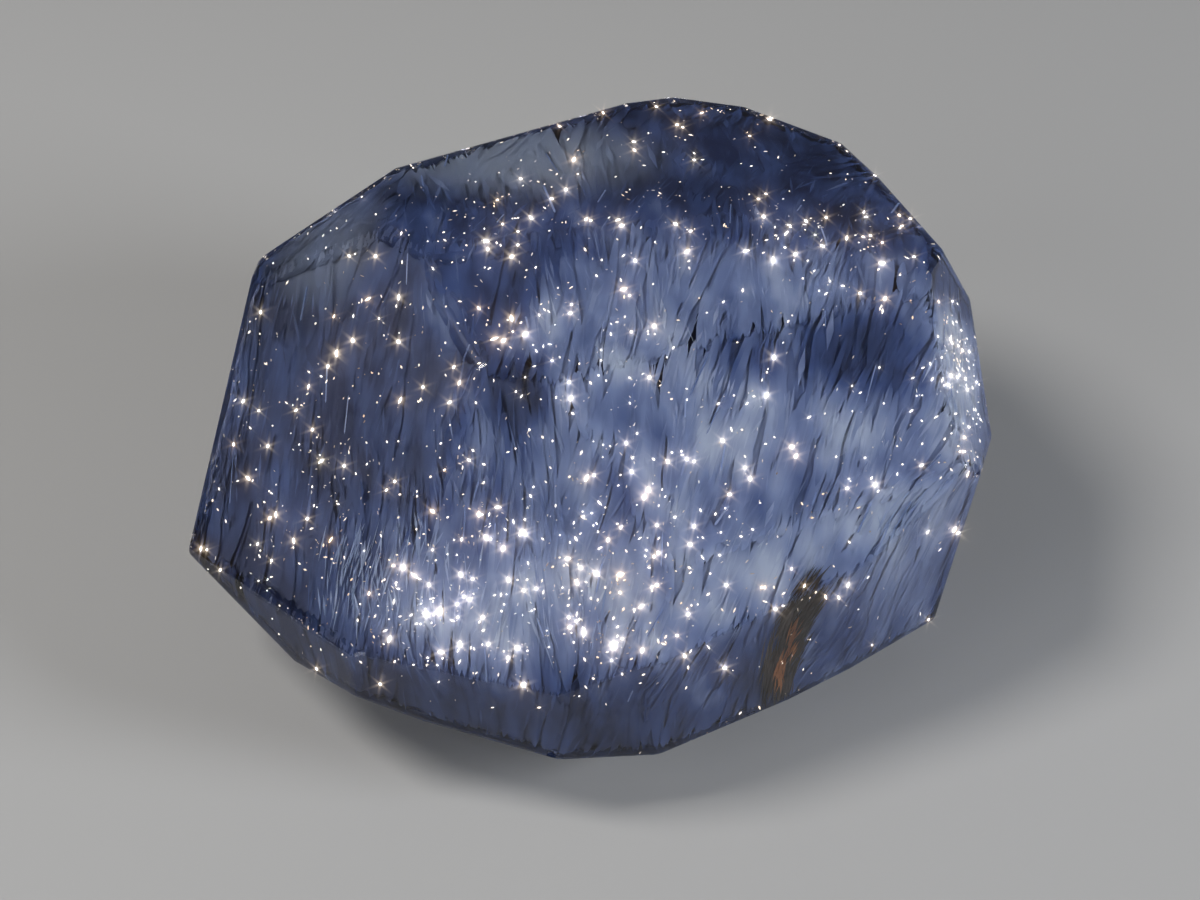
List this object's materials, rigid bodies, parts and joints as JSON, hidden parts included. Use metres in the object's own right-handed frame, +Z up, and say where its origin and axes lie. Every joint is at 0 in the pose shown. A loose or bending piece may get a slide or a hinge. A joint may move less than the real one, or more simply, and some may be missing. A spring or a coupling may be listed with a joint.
{
  "type": "dumortierite quartz stone",
  "caption": "Small ground piece of blue needle-filled quartz with flat faces, a near-vertical side strip and a flat base to rest on",
  "frame": {"origin": "middle of the stone's plan, on the surface it rests on", "axes": "+Z up from the resting face, +X to the right and -Y towards the viewer in the pictured view"},
  "size_m": [0.009, 0.0082, 0.0044],
  "materials": {
    "quartz": "semi-polished ground stone, clear quartz filled with pale blue needles"
  },
  "bodies": {
    "root": {"dumortierite_quartz": "quartz"}
  },
  "joints": []
}
